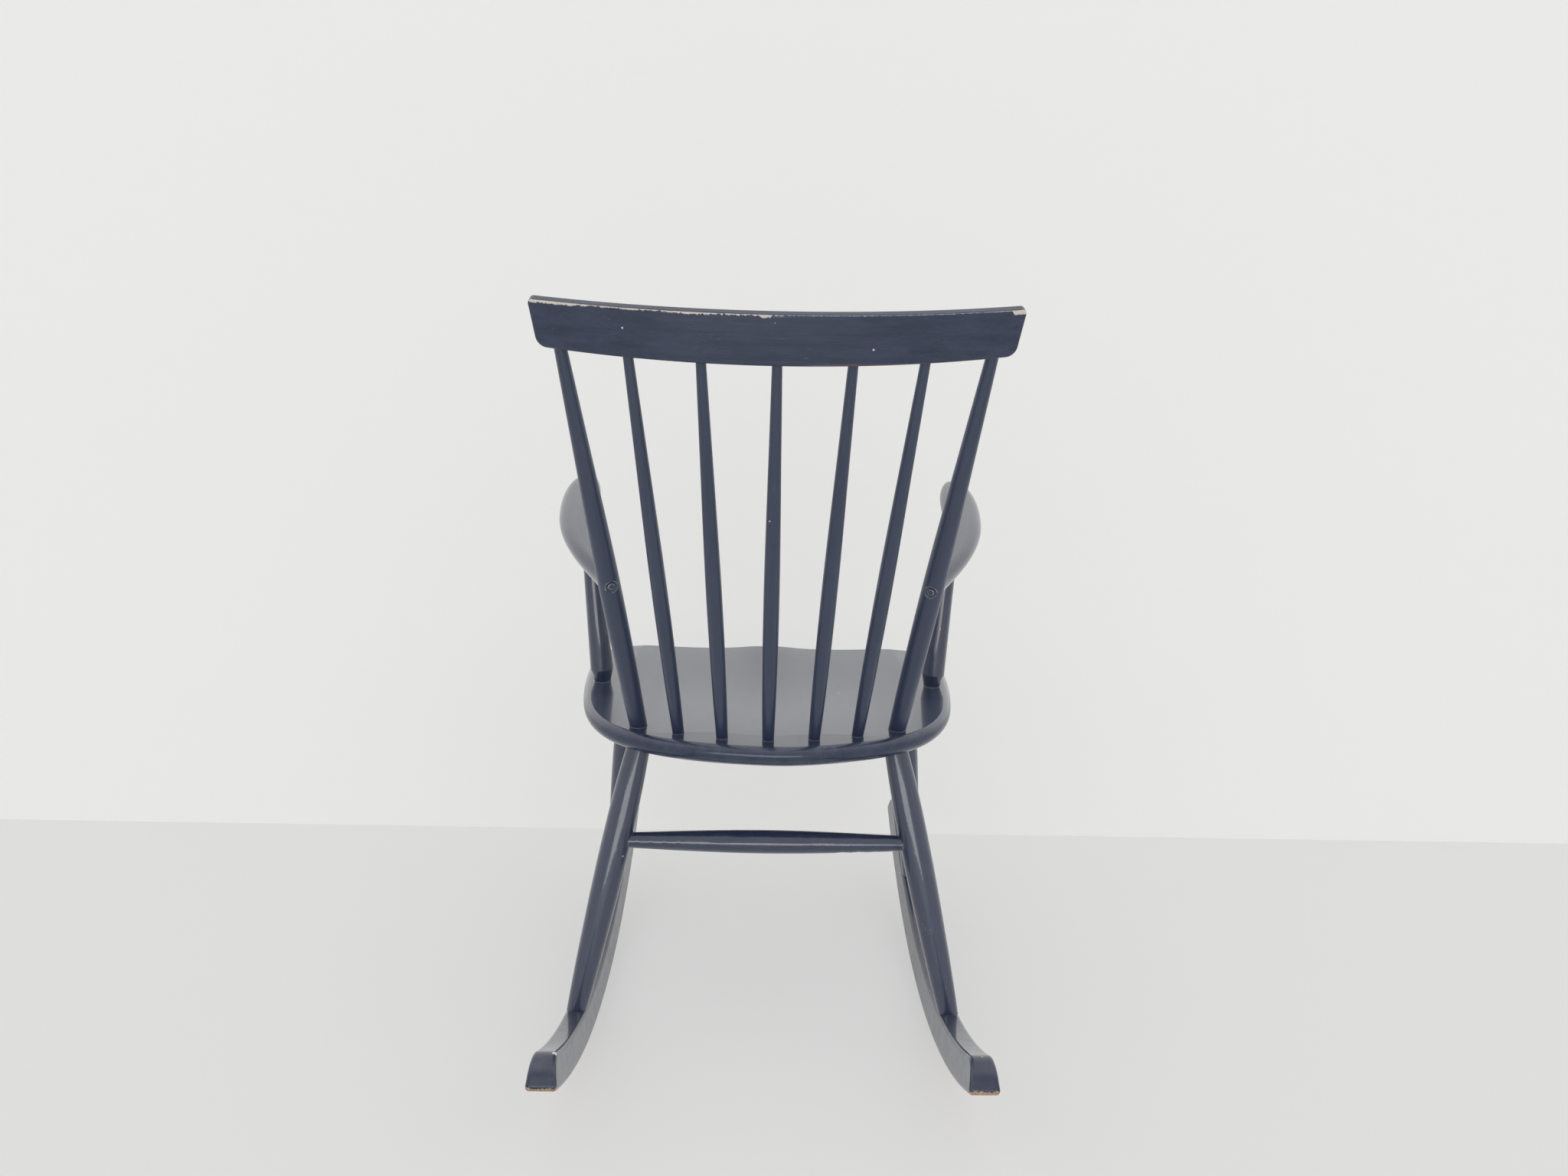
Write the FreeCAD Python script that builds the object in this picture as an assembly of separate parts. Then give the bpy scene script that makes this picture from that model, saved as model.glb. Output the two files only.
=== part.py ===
import FreeCAD
import Part
import math
import os

from FreeCAD import Placement, Rotation, Vector

# A spindle-back rocking chair with paddle arms, all sizes in millimetres.
# Frame: +Z up, the sitter faces -Y, the sitter's left is +X, the origin is on the floor
# under the middle of the chair, and the chair stands as it comes to rest when empty.

# Rockers
rocker_overall_length = 769.0
rocker_radius = 815.0
rocker_height = 36.5
rocker_top_width = 24.0
rocker_sole_width = 33.4
rocker_spacing = 442.5
rocker_splay_deg = 0.4
rocker_rest_y = 1.6
rocker_edge_radius = 4.0
rocker_tip_top_radius = 23.0
rocker_tip_sole_radius = 6.0

# Seat board, placed by the middle of its top
seat_width = 491.0
seat_depth = 433.0
seat_thickness = 26.0
seat_height = 395.0
seat_middle_y = -36.0
seat_tilt_deg = 1.7
seat_rim_inset = 9.0
seat_belly_inset = 22.0
# half outline from the middle of the back to the middle of the front: across, along
seat_outline_shares = (
    (0.0, 1.0),
    (0.405, 0.925),
    (0.640, 0.805),
    (0.785, 0.660),
    (0.895, 0.430),
    (0.962, 0.090),
    (1.0, -0.420),
    (0.990, -0.700),
    (0.925, -0.890),
    (0.780, -0.966),
    (0.400, -0.992),
    (0.0, -1.0),
)
# rim from the top down: inset of the upper half, inset of the lower half, depth
seat_rim_shares = (
    (1.0, 0.0, 0.0),
    (0.38, 0.0, 0.10),
    (0.0, 0.0, 0.36),
    (0.0, 0.16, 0.70),
    (0.0, 0.46, 0.91),
    (0.0, 1.0, 1.0),
)

# Saddle hollowed in the seat
saddle_width = 404.0
saddle_depth = 8.0
saddle_lip = 2.5
# stations from the front edge back: place along, depth in the dips, depth in the middle
saddle_station_shares = (
    (-1.10, 0.60, 0.02),
    (-0.80, 0.78, 0.20),
    (-0.40, 1.0, 0.76),
    (0.05, 0.86, 0.88),
    (0.30, 0.58, 0.66),
    (0.50, 0.31, 0.37),
    (0.68, 0.08, 0.12),
    (0.86, -0.07, -0.05),
)
# places across each station, with the share of the dip and of the middle that they take
saddle_across_shares = ((0.0, 0.0, 1.0), (0.20, 0.68, 0.32), (0.42, 1.0, 0.0), (0.70, 0.70, 0.0))

# Back: the middle spindle sets its lean and length, from the seat to the crest rail
back_lean_deg = 23.9
spindle_length = 468.0
back_foot_inset = 31.0
back_foot_half_span = 153.0
back_foot_radius = 299.0
back_top_half_span = 204.0
back_member_shares = (0.0, 0.347, 0.682, 1.0)
spindle_foot_diameter = 13.6
spindle_belly_diameter = 17.2
spindle_tip_diameter = 9.8
# along the member, and the share of the way from the foot or the tip to the belly
spindle_foot_swell_shares = ((0.0, 0.0), (0.12, 0.56), (0.24, 0.86))
spindle_belly_share = 0.38
spindle_tip_swell_shares = ((0.54, 0.86), (0.73, 0.50), (0.90, 0.19), (1.0, 0.0))
post_foot_diameter = 20.4
post_belly_diameter = 24.2
post_tip_diameter = 12.2

# Crest rail
crest_height = 49.0
crest_foot_thickness = 17.5
crest_top_thickness = 11.0
crest_radius = 770.0
crest_top_half_width = 231.5
crest_foot_half_width = 225.0
crest_crown = 3.8
crest_top_corner_radius = 5.0
crest_foot_corner_radius = 11.0
crest_edge_radius = 2.2

# Arms: from the back posts forward, bowed outwards
arm_length = 402.0
arm_bow = 73.0
arm_width = 50.0
arm_thickness = 21.0
arm_rise_deg = 10.3
arm_post_share = 0.430
# along the arm: place, bow, width, thickness
arm_station_shares = (
    (0.0, 0.0, 0.36, 1.0),
    (0.075, 0.15, 0.43, 1.0),
    (0.190, 0.42, 0.55, 1.0),
    (0.315, 0.66, 0.68, 0.97),
    (0.475, 0.86, 0.85, 0.93),
    (0.640, 0.97, 0.96, 0.89),
    (0.800, 1.035, 0.96, 0.82),
    (0.905, 1.07, 0.80, 0.74),
    (0.965, 1.075, 0.55, 0.58),
    (0.993, 1.07, 0.26, 0.34),
)
# half section of an arm from the middle of its top round to the middle of its belly
arm_section_shares = (
    (0.0, 0.27),
    (0.56, 0.23),
    (0.88, 0.08),
    (1.0, -0.17),
    (0.90, -0.40),
    (0.56, -0.61),
    (0.0, -0.73),
)

# Arm supports between the seat and the arms
support_foot_side_inset = 28.0
support_foot_along = -29.0
support_lean_out_deg = 4.3
support_neck_diameter = 21.5
support_neck_height = 1.5
support_shoulder_height = 17.0
support_shoulder_diameter = 29.8
support_tip_diameter = 19.5
support_tenon_diameter = 13.0
support_arm_along_share = 0.63

# Arm screws, let into the back of the posts
screw_turn_deg = 21.0
screw_shank_diameter = 4.5
screw_length = 40.0
screw_head_diameter = 8.6
screw_head_height = 3.0
screw_slot_width = 1.2
screw_slot_depth = 0.9
screw_counterbore_diameter = 13.4
screw_counterbore_depth = 3.6

# Legs
rear_leg_foot_reach = 51.4
front_leg_side_inset = 53.5
front_leg_front_inset = 82.5
front_leg_foot_reach = 34.3
leg_top_diameter = 27.6
leg_belly_diameter = 34.8
leg_foot_diameter = 23.6
leg_belly_share = 0.36
leg_top_swell_shares = ((0.0, 0.0), (0.10, 0.50), (0.20, 0.82))
leg_foot_swell_shares = ((0.53, 0.92), (0.68, 0.72), (0.84, 0.44), (1.0, 0.0))
leg_foot_tenon_diameter = 14.0

# Stretchers between the legs
rear_stretcher_share = 0.355
front_stretcher_share = 0.335
stretcher_end_diameter = 18.2
stretcher_belly_diameter = 27.8
stretcher_swell_shares = ((0.0, 0.0), (0.18, 0.52), (0.5, 1.0), (0.82, 0.52), (1.0, 0.0))

# Joints
socket_depth = 17.0
back_post_socket_depth = 8.0
rear_leg_socket_depth = 9.0
rocker_socket_depth = 20.0
crest_entry_depth = 3.0
crest_socket_depth = 22.0
crest_tenon_share = 0.8
stretcher_socket_depth = 13.0
fit_clearance = 0.15
end_clearance = 0.3
overrun = 40.0

origin = Vector(0, 0, 0)
across = Vector(1, 0, 0)
along = Vector(0, 1, 0)
up = Vector(0, 0, 1)


def mirrored(shape):
    return shape.mirror(origin, across)


def between(start, end, share):
    return start + (end - start) * share


def spline_edge(points, closed=False):
    curve = Part.BSplineCurve()
    curve.interpolate(Points=points, PeriodicFlag=closed)
    return curve.toShape()


def placed_along(shape, start, end):
    """Turns a shape built on the Z axis so that it runs from start towards end."""
    shape.Placement = Placement(start, Rotation(up, end - start))
    return shape


def rod(start, end, diameter):
    length = (end - start).Length
    return placed_along(Part.makeCylinder(diameter / 2, length), start, end)


def turned(start, end, profile, tail, head):
    """A turned member from start to end, with straight tenons before and after it."""
    length = (end - start).Length
    outline = [Vector(diameter / 2, 0, share * length) for share, diameter in profile]
    foot_rim = Vector(outline[0].x, 0, -tail)
    head_rim = Vector(outline[-1].x, 0, length + head)
    foot = Vector(0, 0, -tail)
    tip = Vector(0, 0, length + head)
    edges = Part.makePolygon([tip, foot, foot_rim, outline[0]]).Edges
    edges.append(spline_edge(outline))
    edges += Part.makePolygon([outline[-1], head_rim, tip]).Edges
    solid = Part.Face(Part.Wire(edges)).revolve(origin, up, 360)
    return placed_along(solid, start, end)


def swelling(end_diameter, belly_diameter, shares):
    spread = belly_diameter - end_diameter
    return [(place, end_diameter + spread * share) for place, share in shares]


# Seat frame

seat_placement = Placement(
    Vector(0, seat_middle_y, seat_height),
    Rotation(across, -seat_tilt_deg),
)


def on_seat(x, y, depth=0):
    """A point of the seat board, by its place across, along and below the top."""
    return seat_placement.multVec(Vector(x, y, -depth))


def seat_outline(inset, depth):
    half_width = seat_width / 2 - inset
    half_depth = seat_depth / 2 - inset
    half = [Vector(x * half_width, y * half_depth, -depth) for x, y in seat_outline_shares]
    other = [Vector(-point.x, point.y, point.z) for point in half[-2:0:-1]]
    return Part.Wire(spline_edge(half + other, closed=True))


def saddle_section(place, dip, middle):
    """One cross section of the hollow, open to the air above the seat."""
    half_width = saddle_width / 2
    y = place * seat_depth / 2
    half = []
    for x, dip_share, middle_share in saddle_across_shares:
        depth = saddle_depth * (dip * dip_share + middle * middle_share)
        half.append(Vector(x * half_width, y, -depth))
    half.append(Vector(half_width, y, saddle_lip))
    floor = [Vector(-point.x, y, point.z) for point in half[:0:-1]] + half
    roof = [floor[-1], Vector(half_width, y, overrun), Vector(-half_width, y, overrun), floor[0]]
    return Part.Wire([spline_edge(floor)] + Part.makePolygon(roof).Edges)


def seat_blank():
    rims = []
    for upper, lower, depth in seat_rim_shares:
        inset = upper * seat_rim_inset + lower * seat_belly_inset
        rims.append(seat_outline(inset, depth * seat_thickness))
    board = Part.makeLoft(rims, True, False)
    stations = [saddle_section(*station) for station in saddle_station_shares]
    board = board.cut(Part.makeLoft(stations, True, False))
    board.Placement = seat_placement
    return board


# Back members: places of their feet on the seat and of their tops in the crest rail

back_lean = math.radians(back_lean_deg)
back_foot_middle = seat_depth / 2 - back_foot_inset
crest_direction = Vector(0, math.sin(back_lean), math.cos(back_lean))
crest_rearward = Vector(0, math.cos(back_lean), -math.sin(back_lean))
crest_base = on_seat(0, back_foot_middle) + crest_direction * spindle_length


def sagitta(radius, x):
    return radius - math.sqrt(radius ** 2 - x ** 2)


crest_depth = sagitta(crest_radius, crest_top_half_width)


def back_foot(share, depth=0):
    x = share * back_foot_half_span
    return on_seat(x, back_foot_middle - sagitta(back_foot_radius, x), depth)


def back_top(share):
    x = share * back_top_half_span
    return crest_base + across * x - crest_rearward * sagitta(crest_radius, x)


def back_profile(foot, belly, tip):
    profile = swelling(foot, belly, spindle_foot_swell_shares)
    profile.append((spindle_belly_share, belly))
    return profile + swelling(tip, belly, spindle_tip_swell_shares)


def back_member(share, depth, diameters, grow=0):
    """A spindle or post, set into the seat and the crest rail; grow makes its socket cutter."""
    foot, belly, tip = diameters
    start = back_foot(share)
    end = back_top(share)
    direction = (end - start).normalize()
    slack = 0 if grow else end_clearance
    profile = [(place, diameter + grow) for place, diameter in back_profile(foot, belly, tip)]
    body = turned(start, end, profile, depth - slack, crest_entry_depth - slack)
    tenon = rod(end, end + direction * (crest_socket_depth - slack), tip * crest_tenon_share + grow)
    return body.fuse(tenon).removeSplitter()


def spindle(share, grow=0):
    diameters = (spindle_foot_diameter, spindle_belly_diameter, spindle_tip_diameter)
    return back_member(share, socket_depth, diameters, grow)


def post_blank(grow=0):
    diameters = (post_foot_diameter, post_belly_diameter, post_tip_diameter)
    return back_member(1.0, back_post_socket_depth, diameters, grow)


def back_cutters():
    """Every back member a little fatter and longer, to cut its sockets with."""
    grow = 2 * fit_clearance
    post = post_blank(grow)
    cutters = [spindle(0, grow), post, mirrored(post)]
    for share in back_member_shares[1:-1]:
        cutters.append(spindle(share, grow))
        cutters.append(spindle(-share, grow))
    return cutters


# Crest rail

def crest_front_outline():
    """The board seen square on: slanted ends and a slightly crowned top."""
    foot_left = Vector(-crest_foot_half_width, 0, 0)
    foot_right = Vector(crest_foot_half_width, 0, 0)
    top_left = Vector(-crest_top_half_width, 0, crest_height - crest_crown)
    top_right = Vector(crest_top_half_width, 0, crest_height - crest_crown)
    crown = Part.Arc(top_right, Vector(0, 0, crest_height), top_left).toShape()
    lines = Part.makePolygon([top_left, foot_left, foot_right, top_right]).Edges
    return Part.Face(Part.Wire(lines + [crown]))


def crest_ring():
    """The bent board as a full ring, thinner towards its top."""
    foot = crest_foot_thickness / 2
    taper = foot - crest_top_thickness / 2
    points = []
    for level, half in ((-1, foot + taper), (2, foot - 2 * taper)):
        points.append(Vector(0, half, level * crest_height))
        points.append(Vector(0, -half, level * crest_height))
    points = [points[0], points[1], points[3], points[2], points[0]]
    section = Part.Face(Part.makePolygon(points))
    return section.revolve(along * -crest_radius, up, 360)


def crest_blank():
    blank = crest_front_outline().extrude(along * (2 * crest_foot_thickness + crest_depth))
    blank.translate(along * -(crest_depth + crest_foot_thickness))
    for radius, at_foot in ((crest_foot_corner_radius, True), (crest_top_corner_radius, False)):
        corners = [edge for edge in blank.Edges if is_crest_corner(edge, at_foot)]
        blank = blank.makeFillet(radius, corners)
    board = blank.common(crest_ring())
    board = board.makeFillet(crest_edge_radius, [edge for edge in board.Edges if follows_bend(edge)])
    board.Placement = Placement(crest_base, Rotation(across, -back_lean_deg))
    return board


def is_crest_corner(edge, at_foot):
    point = edge.CenterOfMass
    crosses = abs(edge.tangentAt(edge.FirstParameter).y) > 0.99
    return crosses and (point.z < crest_foot_corner_radius / 2) == at_foot and is_sharp_end(point)


def is_sharp_end(point):
    return abs(point.x) > crest_foot_half_width - crest_edge_radius


def follows_bend(edge):
    """True for an edge that stays on the front or on the back face of the board."""
    sides = [math.hypot(vertex.X, vertex.Y + crest_radius) > crest_radius for vertex in edge.Vertexes]
    return all(sides) or not any(sides)


# Rockers

splay = math.radians(rocker_splay_deg)
rocker_end_angles = (
    -math.asin((rocker_overall_length / 2 + rocker_rest_y) / rocker_radius),
    math.asin((rocker_overall_length / 2 - rocker_rest_y) / rocker_radius),
)


def rocker_x(y):
    return rocker_spacing / 2 + (y - rocker_rest_y) * math.tan(splay)


def rocker_top(y):
    """The middle of the rocker's top at a place along the chair."""
    run = (y - rocker_rest_y) / math.cos(splay)
    inner = rocker_radius - rocker_height
    return Vector(rocker_x(y), y, rocker_radius - math.sqrt(inner ** 2 - run ** 2))


def rocker_side():
    """The rocker seen from the side: two arcs about one centre, with square ends."""
    inner = rocker_radius - rocker_height
    front, rear = rocker_end_angles

    def at(radius, angle):
        return Vector(0, radius * math.sin(angle), rocker_radius - radius * math.cos(angle))

    sole = Part.Arc(at(rocker_radius, front), at(rocker_radius, 0), at(rocker_radius, rear)).toShape()
    tread = Part.Arc(at(inner, rear), at(inner, 0), at(inner, front)).toShape()
    rear_end = Part.makeLine(at(rocker_radius, rear), at(inner, rear))
    front_end = Part.makeLine(at(inner, front), at(rocker_radius, front))
    return Part.Face(Part.Wire([sole, rear_end, tread, front_end]))


def rocker_bar():
    """The rocker's section, wider at its sole, swept along its curve."""
    half_sole = rocker_sole_width / 2
    half_top = rocker_top_width / 2
    points = [
        Vector(-half_sole, 0, 0),
        Vector(half_sole, 0, 0),
        Vector(half_top, 0, rocker_height),
        Vector(-half_top, 0, rocker_height),
    ]
    section = Part.Face(Part.makePolygon(points + points[:1]))
    centre = Vector(0, 0, rocker_radius)
    front, rear = [math.degrees(angle) for angle in rocker_end_angles]
    section.rotate(centre, across, front)
    return section.revolve(centre, across, rear - front)


def is_rocker_corner(edge, at_top):
    crosses = abs(edge.tangentAt(edge.FirstParameter).x) > 0.99
    reach = math.hypot(edge.CenterOfMass.y, edge.CenterOfMass.z - rocker_radius)
    return crosses and (reach < rocker_radius - rocker_height / 2) == at_top


def rocker_place(board):
    board.Placement = Placement(
        Vector(rocker_spacing / 2, rocker_rest_y, 0),
        Rotation(up, -rocker_splay_deg),
    )
    return board


def rocker_blank():
    side = rocker_side()
    side.translate(across * (-rocker_sole_width))
    board = side.extrude(across * (2 * rocker_sole_width))
    for radius, at_top in ((rocker_tip_sole_radius, False), (rocker_tip_top_radius, True)):
        corners = [edge for edge in board.Edges if is_rocker_corner(edge, at_top)]
        board = board.makeFillet(radius, corners)
    bar = rocker_bar().common(board)
    long_edges = [edge for edge in bar.Edges if abs(edge.CenterOfMass.x) > rocker_top_width / 4]
    return rocker_place(bar.makeFillet(rocker_edge_radius, long_edges))


# Legs

front_leg_x = seat_width / 2 - front_leg_side_inset
front_leg_along = front_leg_front_inset - seat_depth / 2
front_leg_top = on_seat(front_leg_x, front_leg_along, seat_thickness)
rear_leg_top = back_foot(1.0, seat_thickness)
rear_leg_ends = (rear_leg_top, rocker_top(rear_leg_top.y + rear_leg_foot_reach))
front_leg_ends = (front_leg_top, rocker_top(front_leg_top.y - front_leg_foot_reach))


def leg_profile():
    profile = swelling(leg_top_diameter, leg_belly_diameter, leg_top_swell_shares)
    profile.append((leg_belly_share, leg_belly_diameter))
    return profile + swelling(leg_foot_diameter, leg_belly_diameter, leg_foot_swell_shares)


def leg_turning(ends, depth, grow=0):
    """A leg let into the seat, running on below the top of the rocker until it is trimmed."""
    profile = [(place, diameter + grow) for place, diameter in leg_profile()]
    slack = 0 if grow else end_clearance
    return turned(ends[0], ends[1], profile, depth - slack, leg_foot_diameter / 2)


def leg_foot_tenon(ends, grow=0):
    start, end = ends
    direction = (end - start).normalize()
    slack = 0 if grow else end_clearance
    bottom = end + direction * (rocker_socket_depth - slack)
    return rod(end - direction * leg_foot_diameter, bottom, leg_foot_tenon_diameter + grow)


def leg_blank(ends, depth):
    below_rocker_top = rocker_place(rocker_envelope())
    body = leg_turning(ends, depth).cut(below_rocker_top)
    return body.fuse(leg_foot_tenon(ends)).removeSplitter()


def rocker_envelope():
    """All that lies below the rocker's top, wide enough to trim the leg feet with."""
    inner = rocker_radius - rocker_height
    disc = Part.makeCylinder(inner, 2 * overrun, Vector(-overrun, 0, rocker_radius), across)
    block = Part.makeBox(2 * overrun, 2 * rocker_overall_length, rocker_radius)
    block.translate(Vector(-overrun, -rocker_overall_length, -rocker_radius / 2))
    return block.cut(disc)


# Stretchers

def stretcher(ends, share, grow=0):
    """A stretcher between a pair of legs, running from belly to belly and let into both."""
    leg = between(ends[0], ends[1], share)
    half = leg.x - leg_belly_diameter / 2
    start = Vector(-half, leg.y, leg.z)
    end = Vector(half, leg.y, leg.z)
    shape = swelling(stretcher_end_diameter, stretcher_belly_diameter, stretcher_swell_shares)
    profile = [(place, diameter + grow) for place, diameter in shape]
    let_in = stretcher_socket_depth if grow else stretcher_socket_depth - end_clearance
    return turned(start, end, profile, let_in, let_in)


# Arms

post_start = back_foot(1.0)
post_end = back_top(1.0)
arm_rear = between(post_start, post_end, arm_post_share)
arm_rise = math.radians(arm_rise_deg)


def arm_point(place, bow):
    run = place * arm_length
    return arm_rear + Vector(bow * arm_bow, -run, run * math.tan(arm_rise))


def arm_section(place, bow, width, thickness):
    middle = arm_point(place, bow)
    half_width = width * arm_width / 2
    tall = thickness * arm_thickness
    half = [Vector(x * half_width, 0, z * tall) for x, z in arm_section_shares]
    other = [Vector(-point.x, 0, point.z) for point in half[-2:0:-1]]
    return Part.Wire(spline_edge([middle + point for point in half + other], closed=True))


def arm_blank():
    sections = [arm_section(*station) for station in arm_station_shares]
    tip_share = arm_station_shares[-1][1]
    tip = Part.Vertex(arm_point(1.0, tip_share))
    return Part.makeLoft(sections + [tip], True, False)


# Arm supports

support_lean_out = math.radians(support_lean_out_deg)
support_foot = on_seat(seat_width / 2 - support_foot_side_inset, support_foot_along)
support_arm_level = arm_point(support_arm_along_share, 0)
support_rise = support_arm_level.z - support_foot.z
support_top_x = support_foot.x + support_rise * math.tan(support_lean_out)
support_top = Vector(support_top_x, support_arm_level.y, support_arm_level.z)
support_direction = (support_top - support_foot).normalize()


def arm_support_blank():
    """The support up to the middle of the arm, to be trimmed by the underside of the arm."""
    length = (support_top - support_foot).Length
    neck = support_neck_diameter / 2
    shoulder = support_shoulder_diameter / 2
    tip = support_tip_diameter / 2
    tail = socket_depth - end_clearance
    outline = [
        Vector(0, 0, length),
        Vector(0, 0, -tail),
        Vector(neck, 0, -tail),
        Vector(neck, 0, support_neck_height),
        Vector(shoulder, 0, support_shoulder_height),
        Vector(tip, 0, length),
        Vector(0, 0, length),
    ]
    face = Part.Face(Part.makePolygon(outline))
    body = face.revolve(origin, up, 360)
    shoulders = [edge for edge in body.Edges if is_shoulder(edge)]
    body = body.makeFillet(support_neck_height, shoulders)
    return placed_along(body, support_foot, support_top)


def is_shoulder(edge):
    at_shoulder = abs(edge.CenterOfMass.z - support_shoulder_height) < fit_clearance
    return at_shoulder and len(edge.Vertexes) == 1


def support_tenon(grow=0):
    slack = 0 if grow else end_clearance
    start = support_top - support_direction * (2 * arm_thickness)
    return rod(start, support_top - support_direction * slack, support_tenon_diameter + grow)


def support_foot_cutter():
    start = support_foot - support_direction * socket_depth
    end = support_foot + support_direction * support_neck_diameter
    return rod(start, end, support_neck_diameter + 2 * fit_clearance)


# Arm screws

def screw_frame():
    """The screw's seat in the post, and the direction in which it is driven."""
    turn = math.radians(screw_turn_deg)
    direction = Vector(math.sin(turn), -math.cos(turn), math.tan(arm_rise)).normalize()
    out = post_belly_diameter / 2 - screw_counterbore_depth
    return arm_rear - direction * out, direction


def arm_screw():
    seat_point, direction = screw_frame()
    shank = rod(seat_point, seat_point + direction * screw_length, screw_shank_diameter)
    head_end = seat_point - direction * screw_head_height
    head = rod(seat_point, head_end, screw_head_diameter)
    rim = [edge for edge in head.Edges if edge.CenterOfMass.isEqual(head_end, fit_clearance)]
    head = head.makeFillet(screw_head_height / 2, rim)
    slot = Part.makeBox(screw_head_diameter, screw_slot_width, screw_slot_depth)
    slot_floor = screw_head_height - screw_slot_depth
    slot.translate(Vector(-screw_head_diameter / 2, -screw_slot_width / 2, slot_floor))
    slot = placed_along(slot, seat_point, head_end)
    return head.cut(slot).fuse(shank).removeSplitter()


def screw_hole():
    seat_point, direction = screw_frame()
    hole_end = seat_point + direction * (screw_length + end_clearance)
    hole = rod(seat_point, hole_end, screw_shank_diameter + 2 * fit_clearance)
    counterbore = rod(seat_point, seat_point - direction * overrun, screw_counterbore_diameter)
    return hole.fuse(counterbore)


# The pieces as they are, each cut to what it joins

def make_pieces():
    pieces = {}
    grow = 2 * fit_clearance
    cutters = back_cutters()
    legs = (rear_leg_ends, front_leg_ends)

    seat = seat_blank().cut(cutters)
    left_sockets = [
        support_foot_cutter(),
        leg_turning(rear_leg_ends, rear_leg_socket_depth, grow),
        leg_turning(front_leg_ends, socket_depth, grow),
    ]
    pieces["seat"] = seat.cut(left_sockets + [mirrored(cutter) for cutter in left_sockets])
    pieces["crest_rail"] = crest_blank().cut(cutters)

    pieces["back_spindle_middle"] = spindle(0)
    for name, share in zip(("inner", "outer"), back_member_shares[1:-1]):
        pieces["back_spindle_" + name + "_left"] = spindle(share)
        pieces["back_spindle_" + name + "_right"] = spindle(-share)

    hole = screw_hole()
    sides = {"back_post": post_blank().cut(hole)}
    arm = arm_blank()
    sides["armrest"] = arm.cut(post_blank(grow)).cut(hole).cut(support_tenon(grow))
    sides["arm_support"] = arm_support_blank().cut(arm).fuse(support_tenon()).removeSplitter()
    sides["arm_screw"] = arm_screw()

    rear_rail = stretcher(rear_leg_ends, rear_stretcher_share, grow)
    front_rail = stretcher(front_leg_ends, front_stretcher_share, grow)
    sides["rear_leg"] = leg_blank(rear_leg_ends, rear_leg_socket_depth).cut(rear_rail)
    sides["front_leg"] = leg_blank(front_leg_ends, socket_depth).cut(front_rail)
    sides["rocker"] = rocker_blank().cut([leg_foot_tenon(ends, grow) for ends in legs])
    pieces["rear_stretcher"] = stretcher(rear_leg_ends, rear_stretcher_share)
    pieces["front_stretcher"] = stretcher(front_leg_ends, front_stretcher_share)

    for name, shape in sides.items():
        pieces[name + "_left"] = shape
        pieces[name + "_right"] = mirrored(shape)
    return pieces


os.makedirs("parts", exist_ok=True)
for node, shape in make_pieces().items():
    print(node, len(shape.Solids), shape.isValid(), round(shape.Volume))
    shape.exportStep("parts/" + node + ".step")
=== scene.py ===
"""Finishes, stage and camera for a spindle-back rocking chair in worn dark lacquer."""

import bpy
from mathutils import Matrix, Vector

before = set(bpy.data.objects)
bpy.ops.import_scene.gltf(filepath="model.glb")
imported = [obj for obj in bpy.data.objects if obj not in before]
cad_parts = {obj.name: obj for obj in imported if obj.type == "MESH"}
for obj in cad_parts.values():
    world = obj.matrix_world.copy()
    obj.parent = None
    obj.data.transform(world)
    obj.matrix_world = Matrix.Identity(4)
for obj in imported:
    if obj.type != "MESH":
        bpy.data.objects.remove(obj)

bl_info = {
    "name": "Spindle-back rocking chair",
    "version": (1, 0, 0),
    "blender": (4, 5, 0),
    "location": "3D View > Sidebar > Rocking chair",
    "description": "Lacquer, wear, stage and camera for a spindle-back rocking chair",
    "category": "Object",
}

SIDES = ("left", "right")

FLOAT = "NodeSocketFloat"
VECTOR = "NodeSocketVector"

# Directions that the grain of each kind of piece runs in, on the sitter's left
GRAIN_OF_SEAT = (0.0, 1.0, 0.0)
GRAIN_OF_CREST = (1.0, 0.0, 0.0)
GRAIN_OF_SPINDLES = (0.04, 0.41, 0.91)
GRAIN_OF_POSTS = (0.105, 0.424, 0.899)
GRAIN_OF_ARMS = (-0.167, 0.969, -0.180)
GRAIN_OF_ARM_SUPPORTS = (0.075, 0.034, 0.997)
GRAIN_OF_REAR_LEGS = (-0.214, -0.159, 0.964)
GRAIN_OF_FRONT_LEGS = (-0.089, 0.110, 0.990)
GRAIN_OF_STRETCHERS = (1.0, 0.0, 0.0)
GRAIN_OF_ROCKERS = (0.007, 1.0, 0.0)
UP_THE_CREST = Vector((0.0, 0.4051, 0.9143))
BACK_OF_CREST = (0.0, 0.914, -0.405)
CREST_CROWN_PER_METRE = 0.0709
CREST_SPECKS = (((0.1420, 0.3449, 0.8461), 0.0011), ((-0.0879, 0.3480, 0.8312), 0.0012))
CREST_CHIPS = ((0.0115, 0.004, 0.0020), (-0.226, 0.007, 0.0036), (0.075, 0.02, 0.0005))
SCREW_PLACE = (0.17106, 0.20621, 0.57703)
SCREW_RING_RADIUS = 0.0072
ROCKER_CHIP = (0.2141, 0.3538, 0.1194)
ROCKER_AXIS = (0.0, 0.0016, 0.815)

# Colours that show in single places only
CREST_PALE = (0.70, 0.66, 0.60, 1)
CREST_COOL = (0.36, 0.40, 0.52, 1)
CREST_BROWN = (0.13, 0.075, 0.05, 1)
# Painted highlight: the pale ring round the post screws
RING_HIGHLIGHT = (0.30, 0.33, 0.40, 1)
CHIP_WHITE = (0.75, 0.75, 0.74, 1)
BRIGHT_METAL = (0.55, 0.56, 0.57, 1)


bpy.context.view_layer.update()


# Node helpers

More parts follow.
